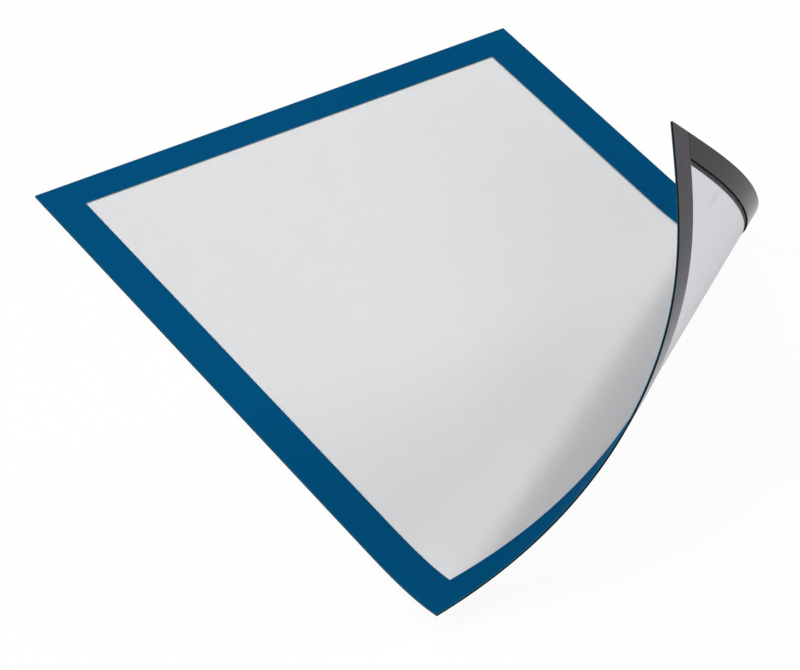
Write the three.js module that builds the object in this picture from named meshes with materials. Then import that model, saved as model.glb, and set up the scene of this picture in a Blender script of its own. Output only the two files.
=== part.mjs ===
import * as THREE from 'three';

// Magnetic display frame for one sheet of paper, lying on its magnets with one corner curled up.
// A border foil is bonded to a clear cover film, and four magnet strips are glued behind the film.
// The paper lies behind the film, in the pocket between the strips.
// Lengths are in millimetres and angles in degrees.
// +X runs along the long side, +Y along the short side, and +Z up from the table.

// The sheet of paper that the frame shows
const paperLength = 297;
const paperWidth = 210;
const paperThickness = 0.12;

// Flexible magnet strips round the back, the short ones running right to the corners
const shortStripWidth = 12.8;
const longStripWidth = 11.6;
const stripThickness = 0.6;
const stripSeam = 0.2;

// Room round the paper between the strips, with more of it on the far side
const paperPlay = 0.2;
const paperHeadroom = 2.6;

// Cover film, the coloured border foil on its front, and the glue line between bonded layers
const filmThickness = 0.2;
const borderThickness = 0.15;
const borderWidth = 15.8;
const glueLine = 0.025;

// The curl of the far right corner, measured along the flat frame from where it leaves the table
const curlReach = 187;
const curlRadius = 61.7;
const curlEaseIn = 53.7;
const curlEaseOut = 60.9;
const curlStartDirection = 31;
const curlTipDirection = 52.5;
const curlSwingPower = 1.5;
const foldCount = 24;

// Overall size, built up from the paper and what lies round it
const frameLength = paperLength + 2 * (paperPlay + shortStripWidth);
const frameWidth = paperWidth + paperPlay + paperHeadroom + 2 * longStripWidth;

// Depth of each layer below the front face
const filmFront = borderThickness + glueLine;
const filmBack = filmFront + filmThickness;
const stripFront = filmBack + glueLine;
const stripBack = stripFront + stripThickness;
const paperBack = stripFront + paperThickness;

// A fold is a straight crease across the flat frame, and what lies past it turns up by a small angle.
// Together the folds make the curl, and their direction swings from its start to the tip.
function makeFold(index) {
  const step = curlReach / foldCount;
  const run = (index + 0.5) * step;
  const swing = (run / curlReach) ** curlSwingPower;
  const tipDirection = THREE.MathUtils.degToRad(curlTipDirection);
  const startDirection = THREE.MathUtils.degToRad(curlStartDirection);
  const direction = THREE.MathUtils.lerp(startDirection, tipDirection, swing);
  const easeIn = THREE.MathUtils.smoothstep(run, 0, curlEaseIn);
  const easeOut = THREE.MathUtils.smoothstep(curlReach - run, 0, curlEaseOut);
  const fromTip = curlReach - run;
  return {
    anchor: new THREE.Vector3(
      frameLength - fromTip * Math.cos(tipDirection),
      frameWidth - fromTip * Math.sin(tipDirection),
      0,
    ),
    across: new THREE.Vector3(Math.cos(direction), Math.sin(direction), 0),
    turn: (step * easeIn * easeOut) / curlRadius,
  };
}

// The move that a fold gives to what lies past it, while the frame before it is still flat
function foldMove(fold) {
  const crease = new THREE.Vector3(fold.across.y, -fold.across.x, 0);
  const there = new THREE.Matrix4().makeTranslation(fold.anchor);
  const turn = new THREE.Matrix4().makeRotationAxis(crease, fold.turn);
  const back = there.clone().invert();
  return there.multiply(turn).multiply(back);
}

const folds = Array.from({ length: foldCount }, (_, index) => makeFold(index));

// Panel k lies between fold k - 1 and fold k, and its place is all the earlier folds together
const panelPlaces = [new THREE.Matrix4()];
for (const fold of folds) {
  const last = panelPlaces[panelPlaces.length - 1];
  panelPlaces.push(last.clone().multiply(foldMove(fold)));
}
const panelNormals = panelPlaces.map((place) => new THREE.Vector3(0, 0, 1).transformDirection(place));

// The way from the front face to a parallel layer one unit above it, on a panel or at a fold
function layerWay(panel, foldIndex) {
  if (foldIndex === undefined) return panelNormals[panel];
  const before = panelNormals[foldIndex];
  const after = panelNormals[foldIndex + 1];
  return before.clone().add(after).divideScalar(1 + before.dot(after));
}

// Where a point of the flat frame ends up at a depth below the front face
function bend(corner, panel, depth) {
  const point = new THREE.Vector3(corner.x, corner.y, 0).applyMatrix4(panelPlaces[panel]);
  return point.addScaledVector(layerWay(panel, corner.foldIndex), -depth);
}

// Splits a convex outline at a fold into what lies before it and what lies past it.
// A corner's wall says whether the edge that leaves it is an open edge of the piece.
function splitOutline(outline, foldIndex) {
  const { anchor, across } = folds[foldIndex];
  const distance = (corner) => (corner.x - anchor.x) * across.x + (corner.y - anchor.y) * across.y;
  const before = [];
  const past = [];
  outline.forEach((corner, index) => {
    const next = outline[(index + 1) % outline.length];
    const here = distance(corner);
    const there = distance(next);
    const [own, other] = here > 0 ? [past, before] : [before, past];
    own.push(corner);
    if (here > 0 === there > 0) return;
    const share = here / (here - there);
    const x = THREE.MathUtils.lerp(corner.x, next.x, share);
    const y = THREE.MathUtils.lerp(corner.y, next.y, share);
    own.push({ x, y, foldIndex, wall: false });
    other.push({ x, y, foldIndex, wall: corner.wall });
  });
  return [before, past];
}

// Cuts a convex outline at every fold, and gives the part of it on each panel that it touches
function cutIntoPanels(outline) {
  const pieces = [];
  let rest = outline;
  folds.forEach((_, foldIndex) => {
    const [before, past] = splitOutline(rest, foldIndex);
    if (before.length > 0) pieces.push({ panel: foldIndex, outline: before });
    rest = past;
  });
  if (rest.length > 0) pieces.push({ panel: foldCount, outline: rest });
  return pieces;
}

// One solid layer of the frame, from convex outlines that meet edge to edge
function layerGeometry(outlines, frontDepth, backDepth) {
  const positions = [];
  const addTriangle = (...points) => points.forEach((point) => positions.push(...point.toArray()));
  for (const { panel, outline } of outlines.flatMap(cutIntoPanels)) {
    const front = outline.map((corner) => bend(corner, panel, frontDepth));
    const back = outline.map((corner) => bend(corner, panel, backDepth));
    for (let i = 2; i < outline.length; i += 1) {
      addTriangle(front[0], front[i - 1], front[i]);
      addTriangle(back[0], back[i], back[i - 1]);
    }
    outline.forEach((corner, i) => {
      if (!corner.wall) return;
      const j = (i + 1) % outline.length;
      addTriangle(front[i], back[i], back[j]);
      addTriangle(front[i], back[j], front[j]);
    });
  }
  const geometry = new THREE.BufferGeometry();
  geometry.setAttribute('position', new THREE.Float32BufferAttribute(positions, 3));
  geometry.computeVertexNormals();
  return geometry;
}

// The corners of an upright rectangle in the flat frame, anticlockwise from the near left one
function rectangle(left, near, right, far) {
  return [
    { x: left, y: near, wall: true },
    { x: right, y: near, wall: true },
    { x: right, y: far, wall: true },
    { x: left, y: far, wall: true },
  ];
}

// A closed band inside a rectangle, as four outlines with mitred corners
function band(left, near, right, far, width) {
  const outer = rectangle(left, near, right, far);
  const inner = rectangle(left + width, near + width, right - width, far - width);
  return outer.map((corner, i) => {
    const j = (i + 1) % outer.length;
    return [
      { ...corner },
      { ...outer[j], wall: false },
      { ...inner[j] },
      { ...inner[i], wall: false },
    ];
  });
}

function makeLayer(name, outlines, frontDepth, backDepth, look) {
  const geometry = layerGeometry(outlines, frontDepth, backDepth);
  const mesh = new THREE.Mesh(geometry, new THREE.MeshStandardMaterial(look));
  mesh.name = name;
  return mesh;
}

const borderLook = { color: '#004a77', roughness: 0.45, metalness: 0 };
const filmLook = { color: '#eef0f3', roughness: 0.35, metalness: 0 };
const paperLook = { color: '#e2e2e5', roughness: 0.85, metalness: 0 };
const magnetLook = { color: '#555559', roughness: 0.6, metalness: 0 };

const frame = new THREE.Group();

const borderOutlines = band(0, 0, frameLength, frameWidth, borderWidth);
frame.add(makeLayer('border_foil', borderOutlines, 0, borderThickness, borderLook));

const filmOutline = rectangle(0, 0, frameLength, frameWidth);
frame.add(makeLayer('cover_film', [filmOutline], filmFront, filmBack, filmLook));

const paperLeft = shortStripWidth + paperPlay;
const paperNear = longStripWidth + paperPlay;
const paperOutline = rectangle(paperLeft, paperNear, paperLeft + paperLength, paperNear + paperWidth);
frame.add(makeLayer('insert_sheet', [paperOutline], stripFront, paperBack, paperLook));

const pocketRight = frameLength - shortStripWidth;
const pocketFar = frameWidth - longStripWidth;
const longStripLeft = shortStripWidth + stripSeam;
const longStripRight = pocketRight - stripSeam;
const stripOutlines = {
  magnet_strip_left: rectangle(0, 0, shortStripWidth, frameWidth),
  magnet_strip_right: rectangle(pocketRight, 0, frameLength, frameWidth),
  magnet_strip_near: rectangle(longStripLeft, 0, longStripRight, longStripWidth),
  magnet_strip_far: rectangle(longStripLeft, pocketFar, longStripRight, frameWidth),
};
for (const [name, outline] of Object.entries(stripOutlines)) {
  frame.add(makeLayer(name, [outline], stripFront, stripBack, magnetLook));
}

// The origin is on the table, under the middle of the whole frame as it lies
const middle = new THREE.Box3().setFromObject(frame).getCenter(new THREE.Vector3());
frame.position.set(-middle.x, -middle.y, stripBack);

export default frame;
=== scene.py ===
import math

import bmesh
import bpy
from mathutils import Matrix, Vector


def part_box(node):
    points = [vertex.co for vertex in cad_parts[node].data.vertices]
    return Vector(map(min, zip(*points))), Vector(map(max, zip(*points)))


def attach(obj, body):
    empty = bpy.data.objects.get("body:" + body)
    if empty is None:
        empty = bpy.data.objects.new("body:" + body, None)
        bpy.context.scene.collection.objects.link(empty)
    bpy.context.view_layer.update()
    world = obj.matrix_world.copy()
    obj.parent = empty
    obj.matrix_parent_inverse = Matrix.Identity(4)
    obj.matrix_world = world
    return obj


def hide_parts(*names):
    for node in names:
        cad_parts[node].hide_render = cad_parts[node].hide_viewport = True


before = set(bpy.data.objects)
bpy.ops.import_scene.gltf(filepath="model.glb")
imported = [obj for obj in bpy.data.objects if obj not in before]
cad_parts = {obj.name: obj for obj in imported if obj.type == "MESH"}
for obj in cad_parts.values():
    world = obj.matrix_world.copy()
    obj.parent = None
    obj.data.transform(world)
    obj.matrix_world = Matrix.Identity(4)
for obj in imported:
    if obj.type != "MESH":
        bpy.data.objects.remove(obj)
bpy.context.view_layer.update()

scene = bpy.context.scene

# Magnetic display frame for one sheet of paper, lying on its magnets with one corner curled up.
# Every layer is made as a flat blank, and one Geometry Nodes tree bends all the blanks alike.
# The flat frame is measured from its near left corner, and depths from its front face.

MM = 0.001

# Sizes of the flat frame, as in the solids
PAPER_LENGTH = 297.0 * MM
PAPER_WIDTH = 210.0 * MM
PAPER_THICKNESS = 0.12 * MM
SHORT_STRIP_WIDTH = 12.8 * MM
LONG_STRIP_WIDTH = 11.6 * MM
STRIP_THICKNESS = 0.6 * MM
STRIP_SEAM = 0.2 * MM
PAPER_PLAY = 0.2 * MM
PAPER_HEADROOM = 2.6 * MM
FILM_THICKNESS = 0.2 * MM
BORDER_THICKNESS = 0.15 * MM
BORDER_WIDTH = 15.8 * MM
GLUE_LINE = 0.025 * MM

FRAME_LENGTH = PAPER_LENGTH + 2 * (PAPER_PLAY + SHORT_STRIP_WIDTH)
FRAME_WIDTH = PAPER_WIDTH + PAPER_PLAY + PAPER_HEADROOM + 2 * LONG_STRIP_WIDTH
FILM_FRONT = BORDER_THICKNESS + GLUE_LINE
FILM_BACK = FILM_FRONT + FILM_THICKNESS
STRIP_FRONT = FILM_BACK + GLUE_LINE
STRIP_BACK = STRIP_FRONT + STRIP_THICKNESS
PAPER_BACK = STRIP_FRONT + PAPER_THICKNESS

# The curl of the far right corner, as in the solids
CURL = {
    "Tip": Vector((FRAME_LENGTH, FRAME_WIDTH, 0.0)),
    "Reach": 187.0 * MM,
    "Radius": 61.7 * MM,
    "Ease In": 53.7 * MM,
    "Ease Out": 60.9 * MM,
    "Start Direction": math.radians(31.0),
    "Tip Direction": math.radians(52.5),
    "Swing Power": 1.5,
    "Folds": 24,
}

# The flat frame's near left corner lies where the left strip's does, and its front face lies its
# whole thickness above the table
FLAT_ORIGIN = Vector((*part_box("magnet_strip_left")[0][:2], STRIP_BACK))

# Widest cell of the mesh that all the blanks share, so that stacked layers bend alike. A width
# that is over a whole number of cells by less than the slack gets no cell more.
CELL = 2.5 * MM
CELL_SLACK = 1e-6

# Rounding of the cut edges, by how many faces and with what profile, where 0.5 is round, and the
# angle between faces from which an edge looks sharp
FOIL_ROUNDING = 0.03 * MM
PAPER_ROUNDING = 0.02 * MM
STRIP_ROUNDING = 0.06 * MM
ROUNDING_FACES = 2
ROUNDING_PROFILE = 0.5
SHARP_ANGLE = math.radians(15)

# Only the rims of a flat blank have faces that meet at more than this angle
RIM_ANGLE = 1.0

# The fine faint line near the curled corner of the paper's back: its middle, half size and angle
# on the flat frame, and its tone
FAINT_LINE = ((289.8 * MM, 214.4 * MM), (14.0 * MM, 2.1 * MM), math.radians(-45.0), "#c8c9cc")

# The camera is fitted to the photo: a long lens, 38 degrees above the table at the near right.
# Its place is in metres, and its lens and sensor are in millimetres.
CAMERA_PLACE = (1.37660, -0.87847, 1.27637)
CAMERA_RIGHT = Vector((0.52437, 0.85148, -0.00295))
CAMERA_FORWARD = Vector((-0.66879, 0.40972, -0.62036))
CAMERA_LENS = 225.71
CAMERA_SENSOR = 36.0

# The table lies just below the strips, reaches this far in metres from its middle to each side,
# and glows by this share so that it looks white
TABLE_DEPTH = 0.1 * MM
TABLE_REACH = 6.0
TABLE_CELLS = 8
TABLE_GLOW_SHARE = 0.9

# Sockets that only their number tells apart: the two colours of a Mix node and their result,
# and the two whole numbers of a Compare node
MIX_A, MIX_B, MIX_RESULT = 6, 7, 2
COMPARE_A, COMPARE_B = 2, 3

# Where two noises are added up, their sum seldom leaves this range
NOISE_SUM_LOW = 0.6
NOISE_SUM_HIGH = 1.4


def linear(hex_code):
    """The linear colour of an sRGB hex code."""
    channels = [int(hex_code[i:i + 2], 16) / 255 for i in (1, 3, 5)]
    return [c / 12.92 if c <= 0.04045 else ((c + 0.055) / 1.055) ** 2.4 for c in channels] + [1.0]


def add_node(tree, kind, inputs=None, **settings):
    """Adds a node with its settings, and gives each input a value or a link from an output."""
    node = tree.nodes.new(kind)
    for name, value in settings.items():
        setattr(node, name, value)
    for key, value in (inputs or {}).items():
        if isinstance(value, bpy.types.NodeSocket):
            tree.links.new(value, node.inputs[key])
        else:
            node.inputs[key].default_value = value
    return node


camera_data = bpy.data.cameras.new("camera")
camera_data.sensor_width = CAMERA_SENSOR
camera_data.lens = CAMERA_LENS
camera = bpy.data.objects.new("camera", camera_data)
scene.collection.objects.link(camera)
camera_up = CAMERA_RIGHT.cross(CAMERA_FORWARD)
camera_turn = Matrix((CAMERA_RIGHT, camera_up, -CAMERA_FORWARD)).transposed().to_4x4()
camera.matrix_world = Matrix.Translation(CAMERA_PLACE) @ camera_turn
scene.camera = camera


def new_material(name):
    """A material with an empty node tree. The UV map "flat" of a layer holds the place of each
    point on the flat frame in metres."""
    material = bpy.data.materials.new(name)
    material.use_nodes = True
    material.node_tree.nodes.clear()
    return material, material.node_tree


def printed_foil():
    """Border foil: PVC film printed solid blue and matt laminated, which gives an even deep
    colour with next to no gloss and a very fine grain."""
    material, tree = new_material("printed_matt_foil")
    flat = add_node(tree, "ShaderNodeUVMap", uv_map="flat").outputs["UV"]
    cloud = add_node(tree, "ShaderNodeTexNoise", {
        "Vector": flat, "Scale": 1 / (30 * MM)}).outputs["Fac"]
    # The real grain is about 0.1 mm and is drawn at 0.7 mm to show
    grain = add_node(tree, "ShaderNodeTexNoise", {
        "Vector": flat, "Scale": 1 / (0.7 * MM), "Detail": 3.0}).outputs["Fac"]
    colour = add_node(tree, "ShaderNodeMix", {
        "Factor": cloud, MIX_A: linear("#004d78"), MIX_B: linear("#00517f")}, data_type="RGBA")
    roughness = add_node(tree, "ShaderNodeMapRange", {
        "Value": grain, "To Min": 0.40, "To Max": 0.52})
    bump = add_node(tree, "ShaderNodeBump", {
        "Height": grain, "Strength": 0.15, "Distance": 0.02 * MM})
    shader = add_node(tree, "ShaderNodeBsdfPrincipled", {
        "Base Color": colour.outputs[MIX_RESULT], "Roughness": roughness.outputs["Result"],
        "Normal": bump.outputs["Normal"], "IOR": 1.46, "Specular IOR Level": 0.002})
    add_node(tree, "ShaderNodeOutputMaterial", {"Surface": shader.outputs["BSDF"]})
    return material


def foil_back():
    """Back of the border foil: a charcoal blocking layer, which keeps the print opaque."""
    material, tree = new_material("charcoal_blocking_layer")
    flat = add_node(tree, "ShaderNodeUVMap", uv_map="flat").outputs["UV"]
    cloud = add_node(tree, "ShaderNodeTexNoise", {
        "Vector": flat, "Scale": 1 / (4 * MM)}).outputs["Fac"]
    colour = add_node(tree, "ShaderNodeMix", {
        "Factor": cloud, MIX_A: linear("#1a191c"), MIX_B: linear("#222125")}, data_type="RGBA")
    shader = add_node(tree, "ShaderNodeBsdfPrincipled", {
        "Base Color": colour.outputs[MIX_RESULT], "Roughness": 0.6, "IOR": 1.46,
        "Specular IOR Level": 0.3})
    add_node(tree, "ShaderNodeOutputMaterial", {"Surface": shader.outputs["BSDF"]})
    return material


def clear_film():
    """Cover film: clear PVC with a light matt finish, which hardly veils the sheet behind it.
    Its gloss over the window is in the look of the sheet's front."""
    material, tree = new_material("clear_matt_film")
    flat = add_node(tree, "ShaderNodeUVMap", uv_map="flat").outputs["UV"]
    grain = add_node(tree, "ShaderNodeTexNoise", {
        "Vector": flat, "Scale": 1 / (1.2 * MM)}).outputs["Fac"]
    roughness = add_node(tree, "ShaderNodeMapRange", {
        "Value": grain, "To Min": 0.28, "To Max": 0.40})
    shader = add_node(tree, "ShaderNodeBsdfPrincipled", {
        "Base Color": linear("#9a9da3"), "Roughness": roughness.outputs["Result"],
        "IOR": 1.52, "Alpha": 0.06})
    add_node(tree, "ShaderNodeOutputMaterial", {"Surface": shader.outputs["BSDF"]})
    return material


def film_edge():
    """Cut edge of the cover film: clear plastic that carries light out from between its faces,
    which gives a fine teal line beside the black rubber."""
    material, tree = new_material("clear_film_cut_edge")
    flat = add_node(tree, "ShaderNodeUVMap", uv_map="flat").outputs["UV"]
    nicks = add_node(tree, "ShaderNodeTexNoise", {
        "Vector": flat, "Scale": 1 / (2 * MM), "Detail": 3.0}).outputs["Fac"]
    colour = add_node(tree, "ShaderNodeMix", {
        "Factor": nicks, MIX_A: linear("#14485a"), MIX_B: linear("#1d586b")}, data_type="RGBA")
    shader = add_node(tree, "ShaderNodeBsdfPrincipled", {
        "Base Color": colour.outputs[MIX_RESULT], "Roughness": 0.5, "IOR": 1.52,
        "Specular IOR Level": 0.2})
    add_node(tree, "ShaderNodeOutputMaterial", {"Surface": shader.outputs["BSDF"]})
    return material


def foil_edge():
    """Cut edge of the border foil: the blue of the print, painted lighter than the border as light
    that the clear laminate carries out at the edge, which gives a fine line along the edge."""
    material, tree = new_material("foil_cut_edge_painted_glow")
    flat = add_node(tree, "ShaderNodeUVMap", uv_map="flat").outputs["UV"]
    nicks = add_node(tree, "ShaderNodeTexNoise", {
        "Vector": flat, "Scale": 1 / (2 * MM), "Detail": 3.0}).outputs["Fac"]
    colour = add_node(tree, "ShaderNodeMix", {
        "Factor": nicks, MIX_A: linear("#0f6389"), MIX_B: linear("#1f7899")}, data_type="RGBA")
    shader = add_node(tree, "ShaderNodeBsdfPrincipled", {
        "Base Color": colour.outputs[MIX_RESULT], "Roughness": 0.55, "IOR": 1.46,
        "Specular IOR Level": 0.1})
    add_node(tree, "ShaderNodeOutputMaterial", {"Surface": shader.outputs["BSDF"]})
    return material


def office_paper(face, dark, pale, roughness, gloss, marks=()):
    """Insert sheet: uncoated 80 g paper, which gives a dull even white with a faint fibre cloud.
    Its front lies flat behind the cover film, so there it is a shade darker and has the soft
    gloss of the film. Each mark is a soft oval of a darker tone: its middle and half size on the
    flat frame, its angle, and the tone."""
    material, tree = new_material(f"uncoated_paper_{face}")
    flat = add_node(tree, "ShaderNodeUVMap", uv_map="flat").outputs["UV"]
    cloud = add_node(tree, "ShaderNodeTexNoise", {
        "Vector": flat, "Scale": 1 / (6 * MM), "Detail": 4.0}).outputs["Fac"]
    # Single fibres are about 0.02 mm wide and are drawn as flecks 0.6 mm wide to show
    along = add_node(tree, "ShaderNodeMapping", {"Vector": flat, "Scale": (1.0, 0.45, 1.0)})
    fibre = add_node(tree, "ShaderNodeTexNoise", {
        "Vector": along.outputs["Vector"], "Scale": 1 / (0.6 * MM), "Detail": 3.0}).outputs["Fac"]
    mix = add_node(tree, "ShaderNodeMath", {0: cloud, 1: fibre}, operation="ADD")
    share = add_node(tree, "ShaderNodeMapRange", {
        "Value": mix.outputs["Value"], "From Min": NOISE_SUM_LOW, "From Max": NOISE_SUM_HIGH})
    colour = add_node(tree, "ShaderNodeMix", {
        "Factor": share.outputs["Result"], MIX_A: linear(dark), MIX_B: linear(pale)},
        data_type="RGBA")
    for (x, y), (length, width), angle, tone in marks:
        oval = add_node(tree, "ShaderNodeMapping", {
            "Vector": flat, "Location": (x, y, 0.0),
            "Rotation": (0.0, 0.0, angle), "Scale": (length, width, 1.0)}, vector_type="TEXTURE")
        depth = add_node(tree, "ShaderNodeTexGradient", {
            "Vector": oval.outputs["Vector"]}, gradient_type="SPHERICAL")
        colour = add_node(tree, "ShaderNodeMix", {
            "Factor": depth.outputs["Fac"], MIX_A: colour.outputs[MIX_RESULT], MIX_B: linear(tone)},
            data_type="RGBA")
    dullness = add_node(tree, "ShaderNodeMapRange", {
        "Value": cloud, "To Min": roughness - 0.03, "To Max": roughness + 0.03})
    bump = add_node(tree, "ShaderNodeBump", {
        "Height": fibre, "Strength": 0.2, "Distance": 0.03 * MM})
    shader = add_node(tree, "ShaderNodeBsdfPrincipled", {
        "Base Color": colour.outputs[MIX_RESULT], "Roughness": dullness.outputs["Result"],
        "Normal": bump.outputs["Normal"], "IOR": 1.5, "Specular IOR Level": gloss})
    add_node(tree, "ShaderNodeOutputMaterial", {"Surface": shader.outputs["BSDF"]})
    return material


def magnet_back(which_strips, dark, pale, gloss):
    """Back of the magnet strips: calendered magnetic rubber under a thin grey lacquer, which gives
    a dark grey with fine streaks along the strip and a pale sheen at a low angle. The short strips
    get a lighter tone than the long ones, a painted reflection, since their streaks run the
    other way to the light."""
    material, tree = new_material(f"lacquered_magnetic_rubber_{which_strips}")
    flat = add_node(tree, "ShaderNodeUVMap", uv_map="flat").outputs["UV"]
    # Rolling streaks run along the strip, about 0.5 mm wide and 60 mm long
    along = add_node(tree, "ShaderNodeMapping", {"Vector": flat, "Scale": (0.008, 1.0, 1.0)})
    streak = add_node(tree, "ShaderNodeTexNoise", {
        "Vector": along.outputs["Vector"], "Scale": 1 / (0.5 * MM)}).outputs["Fac"]
    cloud = add_node(tree, "ShaderNodeTexNoise", {
        "Vector": flat, "Scale": 1 / (12 * MM)}).outputs["Fac"]
    mix = add_node(tree, "ShaderNodeMath", {0: cloud, 1: streak}, operation="ADD")
    share = add_node(tree, "ShaderNodeMapRange", {
        "Value": mix.outputs["Value"], "From Min": NOISE_SUM_LOW, "From Max": NOISE_SUM_HIGH})
    colour = add_node(tree, "ShaderNodeMix", {
        "Factor": share.outputs["Result"], MIX_A: linear(dark), MIX_B: linear(pale)},
        data_type="RGBA")
    roughness = add_node(tree, "ShaderNodeMapRange", {
        "Value": streak, "To Min": 0.14, "To Max": 0.24})
    bump = add_node(tree, "ShaderNodeBump", {
        "Height": streak, "Strength": 0.2, "Distance": 0.02 * MM})
    shader = add_node(tree, "ShaderNodeBsdfPrincipled", {
        "Base Color": colour.outputs[MIX_RESULT], "Roughness": roughness.outputs["Result"],
        "Normal": bump.outputs["Normal"], "IOR": 1.5,
        "Specular IOR Level": gloss, "Sheen Weight": 0.15, "Sheen Roughness": 0.4,
        "Sheen Tint": linear("#e2d8e6")})
    add_node(tree, "ShaderNodeOutputMaterial", {"Surface": shader.outputs["BSDF"]})
    return material


def magnet_core():
    """Cut edges and glued face of the magnet strips: bare ferrite rubber, almost black and dull."""
    material, tree = new_material("bare_magnetic_rubber")
    place = add_node(tree, "ShaderNodeTexCoord").outputs["Object"]
    # Knife marks on the cut are about 0.1 mm apart and are drawn at 0.4 mm to show
    grain = add_node(tree, "ShaderNodeTexNoise", {
        "Vector": place, "Scale": 1 / (0.4 * MM), "Detail": 3.0}).outputs["Fac"]
    colour = add_node(tree, "ShaderNodeMix", {
        "Factor": grain, MIX_A: linear("#060607"), MIX_B: linear("#0f0f11")}, data_type="RGBA")
    bump = add_node(tree, "ShaderNodeBump", {
        "Height": grain, "Strength": 0.3, "Distance": 0.03 * MM})
    shader = add_node(tree, "ShaderNodeBsdfPrincipled", {
        "Base Color": colour.outputs[MIX_RESULT], "Roughness": 0.75, "IOR": 1.5,
        "Specular IOR Level": 0.05, "Normal": bump.outputs["Normal"]})
    add_node(tree, "ShaderNodeOutputMaterial", {"Surface": shader.outputs["BSDF"]})
    return material


printed_foil_look = printed_foil()
foil_back_look = foil_back()
foil_edge_look = foil_edge()
clear_film_look = clear_film()
film_edge_look = film_edge()
paper_front_look = office_paper("behind_film", "#c3c4c6", "#c9cacc", 0.30, 0.96)
paper_back_look = office_paper("back", "#d1d1d5", "#d8d8dc", 0.80, 0.1, marks=(FAINT_LINE,))
# The short strips' lighter tone is a painted reflection; the rubber of all four strips is the same
short_strip_look = magnet_back("short_strips", "#252428", "#2e2d31", 0.12)
long_strip_look = magnet_back("long_strips", "#151416", "#1e1d20", 0.09)
magnet_core_look = magnet_core()


def make_crease_group():
    """Node group: the straight crease at a distance along the curl, and the way across it."""
    tree = bpy.data.node_groups.new("Crease of the curl", "GeometryNodeTree")
    for name, kind in (("Run", "NodeSocketFloat"), ("Tip", "NodeSocketVector"),
                       ("Reach", "NodeSocketFloat"), ("Start Direction", "NodeSocketFloat"),
                       ("Tip Direction", "NodeSocketFloat"), ("Swing Power", "NodeSocketFloat")):
        tree.interface.new_socket(name, in_out="INPUT", socket_type=kind)
    for name in ("Anchor", "Across"):
        tree.interface.new_socket(name, in_out="OUTPUT", socket_type="NodeSocketVector")
    given = add_node(tree, "NodeGroupInput").outputs
    share = add_node(tree, "ShaderNodeMath", {
        0: given["Run"], 1: given["Reach"]}, operation="DIVIDE")
    swing = add_node(tree, "ShaderNodeMath", {
        0: share.outputs[0], 1: given["Swing Power"]}, operation="POWER")
    direction = add_node(tree, "ShaderNodeMapRange", {
        "Value": swing.outputs[0], "To Min": given["Start Direction"],
        "To Max": given["Tip Direction"]}).outputs["Result"]

    def way(angle):
        cosine = add_node(tree, "ShaderNodeMath", {0: angle}, operation="COSINE")
        sine = add_node(tree, "ShaderNodeMath", {0: angle}, operation="SINE")
        return add_node(tree, "ShaderNodeCombineXYZ", {
            "X": cosine.outputs[0], "Y": sine.outputs[0]}).outputs["Vector"]

    from_tip = add_node(tree, "ShaderNodeMath", {
        0: given["Run"], 1: given["Reach"]}, operation="SUBTRACT")
    back = add_node(tree, "ShaderNodeVectorMath", {
        0: way(given["Tip Direction"]), "Scale": from_tip.outputs[0]}, operation="SCALE")
    anchor = add_node(tree, "ShaderNodeVectorMath", {
        0: given["Tip"], 1: back.outputs["Vector"]}, operation="ADD")
    add_node(tree, "NodeGroupOutput", {
        "Anchor": anchor.outputs["Vector"], "Across": way(direction)})
    return tree


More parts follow.
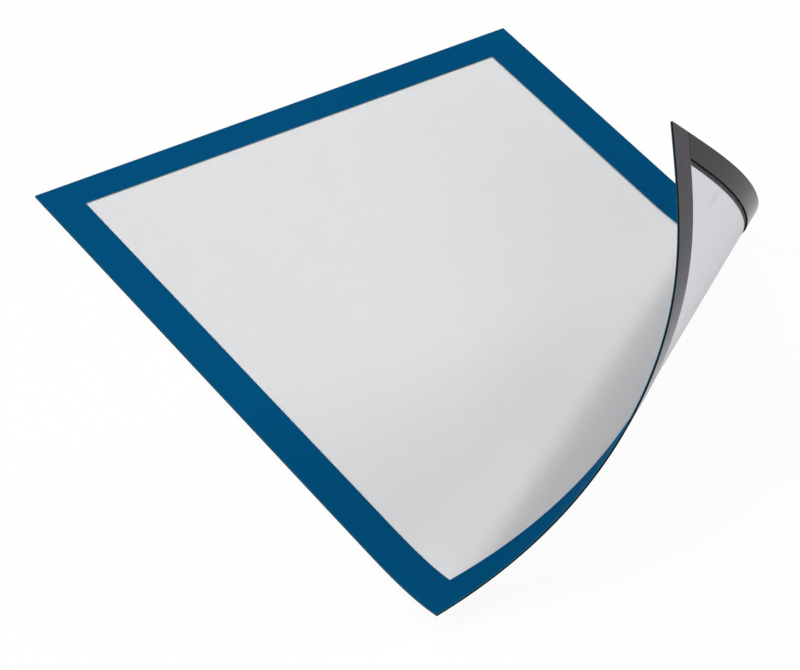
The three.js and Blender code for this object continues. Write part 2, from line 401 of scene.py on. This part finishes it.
def make_curl_tree():
    """Geometry Nodes tree that curls up the far right corner of a flat layer, fold by fold.
    Between two creases the layer bends evenly, so the curl is smooth and nothing stretches."""
    tree = bpy.data.node_groups.new("Curl of the frame", "GeometryNodeTree")
    tree.interface.new_socket("Geometry", in_out="INPUT", socket_type="NodeSocketGeometry")
    kinds = {"Tip": "NodeSocketVector", "Folds": "NodeSocketInt"}
    for name in CURL:
        tree.interface.new_socket(
            name, in_out="INPUT", socket_type=kinds.get(name, "NodeSocketFloat"))
    tree.interface.new_socket("Place", in_out="INPUT", socket_type="NodeSocketVector")
    sides = ("Front Material", "Back Material", "Edge Material")
    for name in sides:
        tree.interface.new_socket(name, in_out="INPUT", socket_type="NodeSocketMaterial")
    tree.interface.new_socket("Geometry", in_out="OUTPUT", socket_type="NodeSocketGeometry")
    given = add_node(tree, "NodeGroupInput").outputs
    crease_group = make_crease_group()

    def crease(run):
        node = add_node(tree, "GeometryNodeGroup", node_tree=crease_group)
        tree.links.new(run, node.inputs["Run"])
        for name in ("Tip", "Reach", "Start Direction", "Tip Direction", "Swing Power"):
            tree.links.new(given[name], node.inputs[name])
        return node.outputs["Anchor"], node.outputs["Across"]

    def distance_past(run, place):
        anchor, across = crease(run)
        offset = add_node(tree, "ShaderNodeVectorMath", {0: place, 1: anchor}, operation="SUBTRACT")
        return add_node(tree, "ShaderNodeVectorMath", {
            0: offset.outputs["Vector"], 1: across}, operation="DOT_PRODUCT").outputs["Value"]

    # The place in the flat frame is kept, because it says which folds a point lies past
    here = add_node(tree, "GeometryNodeInputPosition").outputs["Position"]
    keep = add_node(tree, "GeometryNodeStoreNamedAttribute", {
        "Geometry": given["Geometry"], "Name": "flat place", "Value": here},
        data_type="FLOAT_VECTOR", domain="POINT")
    flat = add_node(tree, "GeometryNodeInputNamedAttribute", {
        "Name": "flat place"}, data_type="FLOAT_VECTOR").outputs["Attribute"]

    repeat_start = add_node(tree, "GeometryNodeRepeatInput")
    repeat_end = add_node(tree, "GeometryNodeRepeatOutput")
    repeat_start.pair_with_output(repeat_end)
    tree.links.new(given["Folds"], repeat_start.inputs["Iterations"])
    tree.links.new(keep.outputs["Geometry"], repeat_start.inputs["Geometry"])

    # The folds nearest to the tip are made first, while the rest of the frame is flat
    step = add_node(tree, "ShaderNodeMath", {
        0: given["Reach"], 1: given["Folds"]}, operation="DIVIDE").outputs[0]
    last = add_node(tree, "ShaderNodeMath", {0: given["Folds"], 1: 1.0}, operation="SUBTRACT")
    index = add_node(tree, "ShaderNodeMath", {
        0: last.outputs[0], 1: repeat_start.outputs["Iteration"]}, operation="SUBTRACT").outputs[0]

    def run_to(share):
        """The distance along the curl to a share of the fold that is being made."""
        steps = add_node(tree, "ShaderNodeMath", {0: index, 1: share}, operation="ADD")
        return add_node(tree, "ShaderNodeMath", {
            0: steps.outputs[0], 1: step}, operation="MULTIPLY").outputs[0]

    run_middle = run_to(0.5)
    to_tip = add_node(tree, "ShaderNodeMath", {
        0: given["Reach"], 1: run_middle}, operation="SUBTRACT").outputs[0]
    ease_in = add_node(tree, "ShaderNodeMapRange", {
        "Value": run_middle, "From Max": given["Ease In"]}, interpolation_type="SMOOTHSTEP")
    ease_out = add_node(tree, "ShaderNodeMapRange", {
        "Value": to_tip, "From Max": given["Ease Out"]}, interpolation_type="SMOOTHSTEP")
    ease = add_node(tree, "ShaderNodeMath", {
        0: ease_in.outputs["Result"], 1: ease_out.outputs["Result"]}, operation="MULTIPLY")
    full_turn = add_node(tree, "ShaderNodeMath", {0: step, 1: given["Radius"]}, operation="DIVIDE")
    turn = add_node(tree, "ShaderNodeMath", {
        0: full_turn.outputs[0], 1: ease.outputs[0]}, operation="MULTIPLY")

    # How far a point has come from the crease before to the crease after, from 0 to 1
    past_before = distance_past(run_to(0.0), flat)
    past_after = distance_past(run_to(1.0), flat)
    spacing = add_node(tree, "ShaderNodeMath", {
        0: past_before, 1: past_after}, operation="SUBTRACT").outputs[0]
    way_come = add_node(tree, "ShaderNodeMath", {0: past_before, 1: spacing}, operation="DIVIDE")
    progress = add_node(tree, "ShaderNodeClamp", {"Value": way_come.outputs[0]}).outputs["Result"]

    # A point part of the way turns about the middle of the arc that it has come along
    anchor, across = crease(run_middle)
    to_come = add_node(tree, "ShaderNodeMath", {0: progress, 1: 1.0}, operation="SUBTRACT")
    half = add_node(tree, "ShaderNodeMath", {0: to_come.outputs[0], 1: 0.5}, operation="MULTIPLY")
    shift = add_node(tree, "ShaderNodeMath", {
        0: spacing, 1: half.outputs[0]}, operation="MULTIPLY")
    aside = add_node(tree, "ShaderNodeVectorMath", {
        0: across, "Scale": shift.outputs[0]}, operation="SCALE")
    centre = add_node(tree, "ShaderNodeVectorMath", {
        0: anchor, 1: aside.outputs["Vector"]}, operation="ADD")
    axis = add_node(tree, "ShaderNodeVectorMath", {
        0: across, 1: (0.0, 0.0, 1.0)}, operation="CROSS_PRODUCT")
    part_turn = add_node(tree, "ShaderNodeMath", {
        0: turn.outputs[0], 1: progress}, operation="MULTIPLY")
    turned = add_node(tree, "ShaderNodeVectorRotate", {
        "Vector": here, "Center": centre.outputs["Vector"], "Axis": axis.outputs["Vector"],
        "Angle": part_turn.outputs[0]}, rotation_type="AXIS_ANGLE")
    fold = add_node(tree, "GeometryNodeSetPosition", {
        "Geometry": repeat_start.outputs["Geometry"], "Position": turned.outputs["Vector"]})
    tree.links.new(fold.outputs["Geometry"], repeat_end.inputs["Geometry"])

    forget = add_node(tree, "GeometryNodeRemoveAttribute", {
        "Geometry": repeat_end.outputs["Geometry"], "Name": "flat place"})
    placed = add_node(tree, "GeometryNodeSetPosition", {
        "Geometry": forget.outputs["Geometry"], "Offset": given["Place"]})
    geometry = add_node(tree, "GeometryNodeRealizeInstances", {
        "Geometry": placed.outputs["Geometry"]}).outputs["Geometry"]
    side = add_node(tree, "GeometryNodeInputNamedAttribute", {
        "Name": "side"}, data_type="INT").outputs["Attribute"]
    for number, name in enumerate(sides):
        chosen = add_node(tree, "FunctionNodeCompare", {
            COMPARE_A: side, COMPARE_B: number}, data_type="INT", operation="EQUAL")
        geometry = add_node(tree, "GeometryNodeSetMaterial", {
            "Geometry": geometry, "Selection": chosen.outputs["Result"],
            "Material": given[name]}).outputs["Geometry"]
    add_node(tree, "NodeGroupOutput", {"Geometry": geometry})
    return tree


curl_tree = make_curl_tree()
curl_inputs = {item.name: item.identifier for item in curl_tree.interface.items_tree
               if item.item_type == "SOCKET" and item.in_out == "INPUT"}


def shared_lines(stops):
    """Lines across the flat frame: one at each layer's edge, and even cells between them."""
    lines = [stops[0]]
    for start, end in zip(stops, stops[1:]):
        cells = math.ceil((end - start) / CELL - CELL_SLACK)
        lines += [start + (end - start) * (i + 1) / cells for i in range(cells)]
    return lines


PAPER_LEFT = SHORT_STRIP_WIDTH + PAPER_PLAY
PAPER_NEAR = LONG_STRIP_WIDTH + PAPER_PLAY
LONG_STRIP_LEFT = SHORT_STRIP_WIDTH + STRIP_SEAM
POCKET_FAR = FRAME_WIDTH - LONG_STRIP_WIDTH

lines_x = shared_lines([
    0.0, SHORT_STRIP_WIDTH, PAPER_LEFT, BORDER_WIDTH, FRAME_LENGTH - BORDER_WIDTH,
    FRAME_LENGTH - PAPER_LEFT, FRAME_LENGTH - SHORT_STRIP_WIDTH, FRAME_LENGTH])
lines_y = shared_lines([
    0.0, LONG_STRIP_WIDTH, PAPER_NEAR, BORDER_WIDTH, FRAME_WIDTH - BORDER_WIDTH,
    PAPER_NEAR + PAPER_WIDTH, POCKET_FAR, FRAME_WIDTH])

FRONT, BACK, EDGE = range(3)


def flat_blank(name, area, front, back, rounding, hole=None, grain_along_y=False):
    """A flat layer between two depths, over an area (left, near, right, far) with or without a
    hole in it. Each face knows its side, and the flat UV map runs along the layer in metres."""
    def inside(box, x, y):
        return box[0] < x < box[2] and box[1] < y < box[3]

    cells = set()
    for i in range(len(lines_x) - 1):
        for j in range(len(lines_y) - 1):
            x = (lines_x[i] + lines_x[i + 1]) / 2
            y = (lines_y[j] + lines_y[j + 1]) / 2
            if inside(area, x, y) and not (hole and inside(hole, x, y)):
                cells.add((i, j))

    bm = bmesh.new()
    side = bm.faces.layers.int.new("side")
    points = {}

    def point(i, j, depth):
        if (i, j, depth) not in points:
            points[i, j, depth] = bm.verts.new((lines_x[i], lines_y[j], -depth))
        return points[i, j, depth]

    def face(number, *corners):
        bm.faces.new([point(*corner) for corner in corners])[side] = number

    for i, j in cells:
        face(FRONT, (i, j, front), (i + 1, j, front), (i + 1, j + 1, front), (i, j + 1, front))
        face(BACK, (i, j, back), (i, j + 1, back), (i + 1, j + 1, back), (i + 1, j, back))
        for neighbour, start, end in (((i, j - 1), (i, j), (i + 1, j)),
                                      ((i + 1, j), (i + 1, j), (i + 1, j + 1)),
                                      ((i, j + 1), (i + 1, j + 1), (i, j + 1)),
                                      ((i - 1, j), (i, j + 1), (i, j))):
            if neighbour not in cells:
                face(EDGE, (*start, front), (*start, back), (*end, back), (*end, front))

    bm.normal_update()
    rims = [edge for edge in bm.edges if edge.calc_face_angle(0.0) > RIM_ANGLE]
    rounded = bmesh.ops.bevel(bm, geom=rims, offset=rounding, segments=ROUNDING_FACES,
                              profile=ROUNDING_PROFILE, affect="EDGES", clamp_overlap=True)
    for rim in rounded["faces"]:
        rim[side] = EDGE
    flat = bm.loops.layers.uv.new("flat")
    for bm_face in bm.faces:
        for corner in bm_face.loops:
            x, y = corner.vert.co.xy
            corner[flat].uv = (y, x) if grain_along_y else (x, y)
    mesh = bpy.data.meshes.new(name)
    bm.to_mesh(mesh)
    bm.free()
    return mesh


def lay_layer(name, node, blank, front_look, back_look, edge_look):
    """Bends a flat blank with the rest of the frame, and puts it in the place of its solid."""
    layer = bpy.data.objects.new(name, blank)
    scene.collection.objects.link(layer)
    modifier = layer.modifiers.new("Curl", "NODES")
    modifier.node_group = curl_tree
    values = {**CURL, "Place": FLAT_ORIGIN, "Front Material": front_look,
              "Back Material": back_look, "Edge Material": edge_look}
    for label, value in values.items():
        modifier[curl_inputs[label]] = value
    depsgraph = bpy.context.evaluated_depsgraph_get()
    mesh = bpy.data.meshes.new_from_object(
        layer.evaluated_get(depsgraph), preserve_all_data_layers=True, depsgraph=depsgraph)
    layer.modifiers.remove(modifier)
    layer.data = mesh
    mesh.name = name
    mesh.shade_smooth()
    mesh.set_sharp_from_angle(angle=SHARP_ANGLE)
    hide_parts(node)
    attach(layer, "root")


whole = (0.0, 0.0, FRAME_LENGTH, FRAME_WIDTH)
window = (BORDER_WIDTH, BORDER_WIDTH, FRAME_LENGTH - BORDER_WIDTH, FRAME_WIDTH - BORDER_WIDTH)
paper = (PAPER_LEFT, PAPER_NEAR, PAPER_LEFT + PAPER_LENGTH, PAPER_NEAR + PAPER_WIDTH)

lay_layer("printed_border", "border_foil",
          flat_blank("printed_border", whole, 0.0, BORDER_THICKNESS, FOIL_ROUNDING,
                     hole=window),
          printed_foil_look, foil_back_look, foil_edge_look)
lay_layer("clear_cover", "cover_film",
          flat_blank("clear_cover", whole, FILM_FRONT, FILM_BACK, FOIL_ROUNDING),
          clear_film_look, clear_film_look, film_edge_look)
lay_layer("paper_insert", "insert_sheet",
          flat_blank("paper_insert", paper, STRIP_FRONT, PAPER_BACK, PAPER_ROUNDING),
          paper_front_look, paper_back_look, paper_back_look)

strips = {
    "left": (0.0, 0.0, SHORT_STRIP_WIDTH, FRAME_WIDTH),
    "right": (FRAME_LENGTH - SHORT_STRIP_WIDTH, 0.0, FRAME_LENGTH, FRAME_WIDTH),
    "near": (LONG_STRIP_LEFT, 0.0, FRAME_LENGTH - LONG_STRIP_LEFT, LONG_STRIP_WIDTH),
    "far": (LONG_STRIP_LEFT, POCKET_FAR, FRAME_LENGTH - LONG_STRIP_LEFT, FRAME_WIDTH),
}
for side_of_frame, area in strips.items():
    is_short = side_of_frame in ("left", "right")
    lay_layer(f"magnet_{side_of_frame}", f"magnet_strip_{side_of_frame}",
              flat_blank(f"magnet_{side_of_frame}", area, STRIP_FRONT, STRIP_BACK, STRIP_ROUNDING,
                         grain_along_y=is_short),
              magnet_core_look, short_strip_look if is_short else long_strip_look,
              magnet_core_look)


def seen_directly(tree):
    """1 for what the camera sees directly, in a mirror or through glass, and 0 for light."""
    path = add_node(tree, "ShaderNodeLightPath").outputs
    gloss = add_node(tree, "ShaderNodeMath", {
        0: path["Is Camera Ray"], 1: path["Is Glossy Ray"]}, operation="MAXIMUM")
    return add_node(tree, "ShaderNodeMath", {
        0: gloss.outputs[0], 1: path["Is Transmission Ray"]}, operation="MAXIMUM").outputs[0]


# Pale studio table, mostly lit from itself to the camera, so that it is white under the frame
table_material, table_tree = new_material("pale_studio_table")
table_colour = add_node(table_tree, "ShaderNodeMix", {
    "Factor": seen_directly(table_tree), MIX_A: linear("#bebec0"), MIX_B: linear("#ffffff")},
    data_type="RGBA")
table_shader = add_node(table_tree, "ShaderNodeBsdfDiffuse", {
    "Color": table_colour.outputs[MIX_RESULT]})
table_glow = add_node(table_tree, "ShaderNodeEmission", {
    "Color": linear("#ffffff"), "Strength": 1.0})
glow_share = add_node(table_tree, "ShaderNodeMath", {
    0: seen_directly(table_tree), 1: TABLE_GLOW_SHARE}, operation="MULTIPLY")
table_mix = add_node(table_tree, "ShaderNodeMixShader", {
    0: glow_share.outputs[0], 1: table_shader.outputs["BSDF"], 2: table_glow.outputs["Emission"]})
add_node(table_tree, "ShaderNodeOutputMaterial", {"Surface": table_mix.outputs["Shader"]})

table_mesh = bpy.data.meshes.new("table")
table_bm = bmesh.new()
bmesh.ops.create_grid(table_bm, x_segments=TABLE_CELLS, y_segments=TABLE_CELLS,
                      size=TABLE_REACH)
bmesh.ops.translate(table_bm, verts=table_bm.verts, vec=(0.0, 0.0, -TABLE_DEPTH))
table_bm.to_mesh(table_mesh)
table_bm.free()
table_mesh.materials.append(table_material)
table = bpy.data.objects.new("table", table_mesh)
scene.collection.objects.link(table)

world = bpy.data.worlds.new("studio")
world.use_nodes = True
world_tree = world.node_tree
world_tree.nodes.clear()
world_light = add_node(world_tree, "ShaderNodeBackground", {
    "Color": linear("#ffffff"), "Strength": seen_directly(world_tree)})
add_node(world_tree, "ShaderNodeOutputWorld", {"Surface": world_light.outputs["Background"]})
scene.world = world


def add_lamp(name, place, size, watts, glare=True):
    """A soft square lamp at a place, facing the frame. Without glare it only fills the shade, and
    no glossy surface mirrors it."""
    lamp = bpy.data.lights.new(name, "AREA")
    lamp.shape = "SQUARE"
    lamp.size = size
    lamp.energy = watts
    holder = bpy.data.objects.new(name, lamp)
    holder.location = place
    holder.rotation_euler = (-Vector(place)).to_track_quat("-Z", "Y").to_euler()
    holder.visible_glossy = glare
    scene.collection.objects.link(holder)


# The large soft lamp lies where the flat window mirrors it to the camera, and the curl turns the
# window away from it, so that a darker band runs down the curl. The others only fill the shade.
add_lamp("lamp_mirrored", (-2.2, 1.0, 1.75), 2.2, 44.0)
add_lamp("lamp_behind", (0.3, 3.2, 1.4), 1.6, 76.0, glare=False)
add_lamp("lamp_right", (1.8, -0.2, 0.8), 0.8, 14.7, glare=False)
add_lamp("lamp_front", (1.6, -1.2, 0.7), 0.8, 13.5, glare=False)
add_lamp("lamp_near", (-0.6, -1.8, 1.3), 1.0, 23.3, glare=False)

scene.view_settings.view_transform = "Standard"
